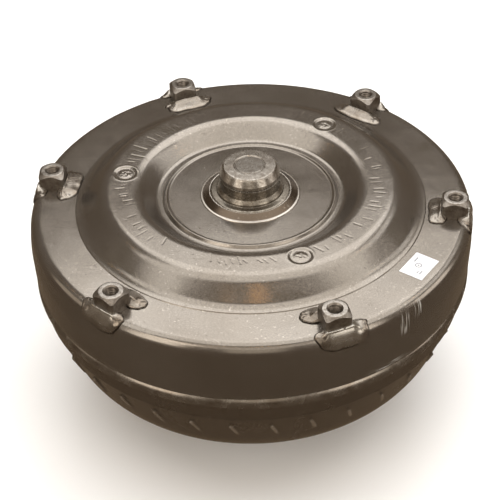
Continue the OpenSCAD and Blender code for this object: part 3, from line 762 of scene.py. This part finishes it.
def bead(name, az, s_mid, t_mid, half_t, *, reach_in, reach_out, height, climb, boxiness, seed, painted_centre_light,
         fillet=False):
    """Heap of weld metal round s_mid, t_mid, that reaches in and out along the cover and half_t to each side.

    climb is how far it rises against the lug's face, and a fillet slopes down over the shoulder.
    """
    rho = 1 - (1 - np.linspace(0, 1, BEAD_RINGS)) ** 2.2
    phi = np.linspace(0, 2 * math.pi, BEAD_COLS, endpoint=False)
    rho, phi = np.meshgrid(rho, phi, indexing="ij")
    wobble = 1 + sum(part * np.sin(k * phi + turns * seed) for part, k, turns in BEAD_WOBBLE)
    boxy = (np.abs(np.cos(phi)) ** boxiness + np.abs(np.sin(phi)) ** boxiness) ** (-1 / boxiness)
    t = half_t * rho * boxy * wobble * np.cos(phi)
    ds = rho * boxy * wobble * np.sin(phi)
    ds = np.where(ds > 0, ds * reach_out, ds * reach_in)
    dome = np.sqrt(np.clip(1 - rho ** 3.4, 0, 1))
    ripple = 0.025 * np.sin(2 * math.pi * (t + 0.04 * ds ** 2) / 2.1 + seed)
    lump = 0.16 * waves(t, ds, 11, 80 + seed) + 0.015 * waves(t, ds, 4, 90 + seed)
    under_lug = smoothstep((LUG_HALF + 5 - np.abs(t + t_mid)) / 6)
    climbed = np.exp(-np.clip(np.abs(ds) - 0.5, 0, None) / 3) * under_lug
    end = smoothstep((np.abs(t) / half_t - 0.5) / 0.25)
    grains = waves(t, ds, 3.6, 70 + seed) * end
    lift = dome * (height + climb * climbed + ripple + lump + 0.25 * np.abs(grains))
    top = drape(s_mid + ds, t + t_mid, lift, az)
    if fillet:
        flat_r, flat_z = on_cover(s_mid + ds)
        along = np.clip(ds / reach_out, 0, 1)
        belly = 0.9 * np.sin(math.pi * along)
        fill_r = np.where(ds > 0, lerp(LUG_R + LUG_HALF, COVER_R - 0.2, along) + belly * 0.85, flat_r)
        fill_z = lerp(SEAT + 1.2 + climb * under_lug, SEAT - 7.5, along) + belly * 0.4 + 0.2 * np.abs(grains)
        amount = dome * under_lug * smoothstep((ds + 1) / 3)
        shelf_r = lerp(flat_r, fill_r, amount)
        shelf_z = lerp(flat_z, np.maximum(fill_z, flat_z + 0.8), amount)
        top = lerp(top, swing(shelf_r, t + t_mid, shelf_z, az), amount[..., None])
    base = drape(s_mid + ds, t + t_mid, np.full_like(lift, -0.5), az)[::-1]
    # Painted light on each bead: a painted highlight on the middle of the outer beads and painted shade on the
    # middle of the inner beads, painted shade along the rim and in the crevices between grains, and the hidden
    # underside held dark.
    centre = (1 - end) * smoothstep((0.85 - rho) / 0.2)
    painted_rim_and_crevice_shade = 0.8 * smoothstep((rho - 0.92) / 0.05) + 0.6 * smoothstep(-grains - 0.2) * (rho < 0.9)
    verts = np.concatenate((top, base)).reshape(-1, 3)
    wear_and_light = np.concatenate((painted_centre_light * centre - painted_rim_and_crevice_shade, np.full_like(painted_rim_and_crevice_shade, -1))).ravel()
    return mesh_object(name, verts, grid_faces(2 * BEAD_RINGS, BEAD_COLS), 50, wear_and_light)


RUN_AT_LUG = LUG_R - DRAPE_START
# For each lug: how far the beads lie to the side, and how far they reach
OUTER_SHIFT = [0, 1, -1, 1, -1.5, 2]
INNER_SHIFT = [-1, -1, -0.5, 1, 4, -4]
OUTER_HALF = [18, 18, 18, 18, 18, 19]
INNER_HALF = [15.5, 21, 19, 18, 14.5, 15.5]
INNER_REACH = [9, 9, 10.5, 10.5, 9, 8.5]
for i, az in enumerate(LUG_AZ):
    outer = bead(f"outer_bead_{i + 1}", az, RUN_AT_LUG + LUG_HALF - 0.3, OUTER_SHIFT[i], OUTER_HALF[i],
                 reach_in=7, reach_out=12.5, height=1.7, climb=3.4, boxiness=2.5, seed=i, painted_centre_light=0.38,
                 fillet=True)
    add(outer, weld_metal, "lug_welds", slot="weld_steel")
    inner = bead(f"inner_bead_{i + 1}", az, RUN_AT_LUG - LUG_HALF - 0.5, INNER_SHIFT[i], INNER_HALF[i],
                 reach_in=INNER_REACH[i], reach_out=6, height=2.3, climb=2.4, boxiness=2.7, seed=i + 10,
                 painted_centre_light=-0.25)
    add(inner, weld_metal, "lug_welds", slot="weld_steel")

# ---- Closure weld and impeller shell ----

LIP_R = COVER_R - 2.8
CLOSURE = [
    (COVER_R - COVER_T + 0.05, COVER_END + 0.2, 0), (COVER_R - 2.5, COVER_END + 0.2, 0),
    (COVER_R + 0.1, COVER_END - 3.1, 8), (COVER_R - 0.3, COVER_END - 7.2, 0.9),
    (COVER_R - 3.6, COVER_END - 8.6, 0.4), (COVER_R - 3.8, COVER_END - 7.8, 0),
    (COVER_R - COVER_T + 0.05, COVER_END - 1.4, 0)]


def shape_closure(r, z, angle):
    """Rolled ripples of an automatic weld, with a slow wander."""
    run = angle * COVER_R
    crown = smoothstep((r - COVER_R + 3.2) / 1.0)
    ripple = 0.012 * np.sin(2 * math.pi * (run / 1.6 + 0.25 * (z - COVER_END)))
    wander = 0.05 * waves(run, 0, 60, 31) + 0.012 * waves(run, 0, 14, 32)
    return r + crown * (ripple + wander - 0.2), z + crown * 0.10 * waves(run, 0, 40, 33)


closure_path = resample(rounded(CLOSURE, 5), lambda r, z: 0.5 if r > LIP_R else 2)
add(revolve("closure_bead", closure_path, 1600, shape_closure), weld_metal, "closure_weld", slot="weld_steel")

TORUS_R, TORUS_Z, TUBE_R = 101.35, -94.85, 46
SHELL_T = 3.2
CONE_ANGLE = -20.2
EXIT_ANGLE = -137.5
RIB_FOOT = np.array((144.5, -110.75))
SHELL_FLAT = -114.45
HUB_HOLE_R = 45
SLOPE = (RIB_FOOT - RIB_TOP) / np.linalg.norm(RIB_FOOT - RIB_TOP)
OUTWARD = np.array((-SLOPE[1], SLOPE[0]))
TAB_LEAN = math.tan(math.radians(17))
TAB_R = 148.5
TAB_MID, TAB_HALF = 16.0, 6.4  # along the cone from RIB_TOP
TAB_HIGH, TAB_LOW = 1.9, 0.9
TAB_HALF_WIDTH, TAB_SIDE = 2.1, 1.6


def shell_path():
    """Outline of the bowl: the lip under the closure weld, the cone, the torus and the flat round the hub."""
    outside = arc(TORUS_R, TORUS_Z, TUBE_R, CONE_ANGLE, EXIT_ANGLE, 40)
    inside = arc(TORUS_R, TORUS_Z, TUBE_R - SHELL_T, EXIT_ANGLE, CONE_ANGLE, 20)
    outer_exit, inner_exit = np.array(outside[-1]), np.array(inside[0])
    leave = math.radians(EXIT_ANGLE - 90)
    exit_dir = np.array((math.cos(leave), math.sin(leave)))
    outer_end = outer_exit + exit_dir * (SHELL_FLAT - outer_exit[1]) / exit_dir[1]
    inner_end = inner_exit + exit_dir * (SHELL_FLAT + SHELL_T - inner_exit[1]) / exit_dir[1]
    lip = rounded([
        (COVER_R - 8, COVER_END + 8, 0), (COVER_R - COVER_T - 0.05, COVER_END + 8, 0),
        (COVER_R - COVER_T - 0.05, COVER_END - 1.5, 0), (LIP_R, COVER_END - 1.5, 0),
        (LIP_R - 0.15, COVER_END - 4, 2), (RIB_TOP[0] + 1.1, RIB_TOP[1] + 1.6, 1.2),
        (RIB_TOP[0], RIB_TOP[1], 0)], 6)
    foot = rounded([(*outer_exit, 0), (*outer_end, 9), (HUB_HOLE_R, SHELL_FLAT, 0)], 8)
    path = np.concatenate((lip, outside, foot[1:], [(HUB_HOLE_R, SHELL_FLAT + SHELL_T), inner_end], inside,
                           [RIB_TOP - OUTWARD * SHELL_T]))

    def step(r, z):
        on_cone = RIB_FOOT[1] - 1 < z < RIB_TOP[1] + 1 and (np.array((r, z)) - RIB_TOP) @ OUTWARD > -1
        return 0.75 if on_cone else 3.5
    return resample(path, step)


def shape_shell(r, z, angle):
    """The ring of slanted raised tabs, each higher at its upper end and given a painted highlight there."""
    along = (r - RIB_TOP[0]) * SLOPE[0] + (z - RIB_TOP[1]) * SLOPE[1]
    depth = (r - RIB_TOP[0]) * OUTWARD[0] + (z - RIB_TOP[1]) * OUTWARD[1]
    outside = (depth > -1) & (z < COVER_END - 8)
    pitch = 2 * math.pi / TABS
    offset = (angle - math.radians(FIRST_TAB_AZ) + pitch / 2) % pitch - pitch / 2
    u = (along - TAB_MID) / TAB_HALF
    across = offset * TAB_R - u * TAB_HALF * TAB_LEAN
    beyond = np.clip(np.abs(u) - 1, 0, None) * TAB_HALF
    d = np.hypot(across, beyond)
    height = lerp(TAB_HIGH, TAB_LOW, np.clip((u + 1) / 2, 0, 1))
    tab = height * smoothstep((TAB_HALF_WIDTH - d) / TAB_SIDE) * outside
    x, y = r * np.cos(angle), r * np.sin(angle)
    swell = 0.06 * (waves(x, y, 60, 35) - 1) * ((z < COVER_END - 5) & (depth > -1))
    # Painted highlight: the upper end of each tab is brightened through the per-point value.
    painted_tab_highlight = smoothstep((1.25 - u) / 0.9) * smoothstep((tab / height - 0.35) / 0.3)
    return r + OUTWARD[0] * (tab + swell), z + OUTWARD[1] * (tab + swell), painted_tab_highlight * outside * 0.45


add(revolve("impeller_bowl", shell_path(), TABS * 40, shape_shell), shaded_shell_coat, "impeller_shell",
    slot="shell_steel")

# ---- Label ----

LABEL_TOP, LABEL_BASE = 0.17, 0.02  # above the seat
LABEL_COLS, LABEL_ROWS = 14, 20


def make_label():
    """Paper label lying flat on the outer annulus."""
    nx, ny = LABEL_COLS, LABEL_ROWS
    x, y = np.meshgrid(np.linspace(-LABEL_W / 2, LABEL_W / 2, nx), np.linspace(-LABEL_L / 2, LABEL_L / 2, ny),
                       indexing="ij")
    verts = np.concatenate([np.stack((x, y, np.full_like(x, SEAT + lift)), -1).reshape(-1, 3)
                            for lift in (LABEL_TOP, LABEL_BASE)])
    verts = place(verts, LABEL_AZ, LABEL_R)
    n = nx * ny
    faces = []
    for i in range(nx - 1):
        for j in range(ny - 1):
            a = i * ny + j
            faces += [(a, a + ny, a + ny + 1, a + 1), (n + a, n + a + 1, n + a + ny + 1, n + a + ny)]
    rim = [i * ny for i in range(nx)] + [(nx - 1) * ny + j for j in range(1, ny)]
    rim += [i * ny + ny - 1 for i in range(nx - 2, -1, -1)] + list(range(ny - 2, 0, -1))
    for a, b in zip(rim, rim[1:] + rim[:1]):
        faces.append((a, b, n + b, n + a))
    return mesh_object("paper_label", verts, faces)


add(make_label(), label_paper, "label", slot="label_paper")

# ---- Damper springs: real coils in place of the sleeves ----

SPRING_Z = -35.05
SPRING_R = 119.6
SPRING_LENGTH = 54
SPRING_ROOM = 0.2  # left over at the ends, in all
COIL_R, WIRE_R = 5.3, 1.55
SPRINGS = 8
FIRST_SPRING_AZ = 22.5
TURNS, STEPS_PER_TURN, WIRE_COLS = 10, 24, 12
END_SHARE, END_RUN = 0.06, 0.045  # the closed end turns: share of the wire, and of the length it takes


def make_spring(name, az):
    """A coil with closed ends, lying along the circle that the springs sit on."""
    u = np.linspace(0, 1, TURNS * STEPS_PER_TURN + 1)
    a = 2 * math.pi * TURNS * u
    run = np.interp(u, [0, END_SHARE, 1 - END_SHARE, 1], [0, END_RUN, 1 - END_RUN, 1])
    y = (run - 0.5) * (SPRING_LENGTH - 2 * WIRE_R - SPRING_ROOM)
    path = np.stack((COIL_R * np.cos(a), y, COIL_R * np.sin(a)), -1)
    tangent = np.gradient(path, axis=0)
    tangent /= np.linalg.norm(tangent, axis=1, keepdims=True)
    out = np.stack((np.cos(a), 0 * a, np.sin(a)), -1)
    side = np.cross(tangent, out)
    b = np.linspace(0, 2 * math.pi, WIRE_COLS, endpoint=False)[None, :, None]
    rings = path[:, None] + WIRE_R * (out[:, None] * np.cos(b) + side[:, None] * np.sin(b))
    verts = place(rings, az, SPRING_R, z=SPRING_Z).reshape(-1, 3)
    faces = grid_faces(len(path), WIRE_COLS)
    faces += [tuple(range(WIRE_COLS)), tuple(range(len(verts) - WIRE_COLS, len(verts)))]
    return mesh_object(name, verts, faces)


for i in range(SPRINGS):
    spring = make_spring(f"damper_coil_{i + 1}", FIRST_SPRING_AZ + i * 360 / SPRINGS)
    add(spring, SLOT_MATERIAL["spring_steel"], "damper_springs", body="damper", slot="spring_steel")

# ---- Weld spatter: small beads stuck to the cover ----

SPATTER = 11
SPATTER_RINGS, SPATTER_COLS = 5, 10


def make_spatter():
    """Flattened beads strewn over the left of the centre disc."""
    rng = np.random.default_rng(5)
    verts, faces = [], []
    e, a = np.meshgrid(np.linspace(math.pi / 2, -0.5, SPATTER_RINGS),
                       np.linspace(0, 2 * math.pi, SPATTER_COLS, endpoint=False), indexing="ij")
    unit = np.stack((np.cos(e) * np.cos(a), np.cos(e) * np.sin(a), 0.7 * np.sin(e)), -1)
    for _ in range(SPATTER):
        r, az, size = rng.uniform(40, 56), rng.uniform(130, 250), rng.uniform(0.35, 0.75)
        faces += grid_faces(SPATTER_RINGS, SPATTER_COLS, offset=len(verts))
        verts += place(size * unit, az, r, z=DISC + 0.1).reshape(-1, 3).tolist()
        faces.append(tuple(range(len(verts) - SPATTER_COLS, len(verts))))
    return mesh_object("weld_spatter", verts, faces)


add(make_spatter(), weld_metal, slot="weld_steel")

# ---- CAD pieces that keep their shape and only get a material ----

slot_of = {part["node"]: part["material_slot"] for part in frame["record"]["subparts"]}
REPLACED = {"front_cover", "pilot_boss", "pilot_weld", "drive_lugs", "lug_welds", "closure_weld",
            "impeller_shell", "label", "damper_springs"}
for name, node in frame["nodes"].items():
    if name not in REPLACED:
        node.data.materials.clear()
        node.data.materials.append(SLOT_MATERIAL[slot_of[name]])

# ---- Floor and light, in metres ----

FLOOR_HALF = 30.0
GLOW_START, GLOW_FULL = 0.5, 2.6  # the floor fades into a bright backdrop over this stretch of radius


def make_floor():
    """Matt white floor under the hub."""
    z = HUB_END * MM - 0.0005
    corners = [(x * FLOOR_HALF, y * FLOOR_HALF, z) for x, y in ((-1, -1), (1, -1), (1, 1), (-1, 1))]
    mesh = bpy.data.meshes.new("floor")
    mesh.from_pydata(corners, [], [(0, 1, 2, 3)])
    floor = bpy.data.objects.new("floor", mesh)
    bpy.context.scene.collection.objects.link(floor)
    paint = Shader("floor_white", (0.9, 0.9, 0.9), 0.0, 0.9)
    _, radius, _ = paint.polar()
    glow = paint.remap(radius, GLOW_START, GLOW_FULL, 0.0, 0.8)
    paint.set(paint.bsdf, {"Emission Color": (1, 0.99, 0.975, 1), "Emission Strength": glow})
    color = paint.mix(paint.noise(3, 2), (0.88, 0.88, 0.88), (0.92, 0.92, 0.92))
    mesh.materials.append(paint.finish(color, 0.9))
    floor.visible_glossy = False


def area_light(name, place_at, aim_at, width, height, brightness, color):
    """Soft panel at one place, facing another; brightness is its radiance."""
    data = bpy.data.lights.new(name, "AREA")
    data.shape = "RECTANGLE"
    data.size, data.size_y = width, height
    data.energy, data.color = brightness * math.pi * width * height, color
    light = bpy.data.objects.new(name, data)
    light.location = place_at
    light.rotation_mode = "QUATERNION"
    light.rotation_quaternion = (Vector(aim_at) - Vector(place_at)).to_track_quat("-Z", "Y")
    light.visible_camera = False
    bpy.context.scene.collection.objects.link(light)
    return light


BOX_HEIGHT = 0.6
LAMP_HEIGHT = 0.62
LOW_DISTANCE = 2.0
# Panels overhead, facing down: x, y, width, depth, brightness, colour
SOFTBOXES = {
    "softbox_back": (0.07, 0.4, 0.74, 0.6, 2.9, (1, 1, 1)),
    "softbox_cross": (0.08, -0.11, 1.6, 0.42, 2.0, (1, 0.99, 0.97)),
    "softbox_right": (0.75, 0.35, 0.4, 0.5, 1.6, (1, 1, 1)),
    "softbox_front": (0, -0.67, 1.2, 0.42, 0.95, (1, 0.94, 0.86))}
# Panels round about: azimuth from behind the camera to its right, elevation, width, height, brightness, colour
LOW_PANELS = {
    "low_front_right": (45, 21, 0.9, 1.4, 2.5, (1, 0.95, 0.88)),
    "low_front_left": (-45, 24, 0.9, 1.6, 2.8, (1, 0.93, 0.84)),
    "low_front": (0, 22, 0.9, 1.4, 0.8, (1, 0.93, 0.82)),
    "low_right": (90, 14, 0.9, 0.9, 2.2, (1, 0.95, 0.9)),
    "low_left": (-90, 14, 0.9, 0.9, 0.9, (1, 0.9, 0.78))}
WARM_LAMPS = [(-0.16, -0.47), (0.015, -0.45), (0.06, -0.45), (-0.62, 0.22), (0.66, 0.05)]
LAMP_WIDTH, LAMP_DEPTH, LAMP_GLOW = 0.045, 0.012, 10
GROUND_GLOW, SKY_GLOW = (0.175, 0.125, 0.080, 1), (0.25, 0.205, 0.16, 1)


def make_world():
    """A dim brown room, darker below, for the metal to mirror."""
    world = bpy.data.worlds.new("studio")
    world.use_nodes = True
    nodes, links = world.node_tree.nodes, world.node_tree.links
    split = nodes.new("ShaderNodeSeparateXYZ")
    links.new(nodes.new("ShaderNodeTexCoord").outputs["Generated"], split.inputs[0])
    ramp = nodes.new("ShaderNodeValToRGB")
    links.new(split.outputs[2], ramp.inputs[0])
    for stop, position, color in zip(ramp.color_ramp.elements, (0.0, 0.45), (GROUND_GLOW, SKY_GLOW)):
        stop.position, stop.color = position, color
    links.new(ramp.outputs[0], nodes["Background"].inputs["Color"])
    bpy.context.scene.world = world


def make_lights():
    """Softboxes overhead, low panels round about, small warm lamps, and a wash for the floor."""
    for name, (x, y, width, depth, brightness, color) in SOFTBOXES.items():
        area_light(name, (x, y, BOX_HEIGHT), (x, y, 0), width, depth, brightness, color)
    for name, (azimuth, elevation, width, height, brightness, color) in LOW_PANELS.items():
        a, e = math.radians(azimuth), math.radians(elevation)
        out = Vector((math.sin(a) * math.cos(e), -math.cos(a) * math.cos(e), math.sin(e)))
        area_light(name, out * LOW_DISTANCE, (0, 0, 0), width, height, brightness, color)
    for i, (x, y) in enumerate(WARM_LAMPS):
        area_light(f"warm_lamp_{i + 1}", (x, y, LAMP_HEIGHT), (x, y, 0), LAMP_WIDTH, LAMP_DEPTH, LAMP_GLOW,
                   (1, 0.55, 0.2))
    wash = area_light("floor_wash", (0, 0, 3), (0, 0, 0), 3.0, 3.0, 1.9, (0.95, 0.975, 1))
    wash.visible_glossy = False


make_floor()
make_world()
make_lights()
bpy.context.scene.view_settings.view_transform = "Standard"
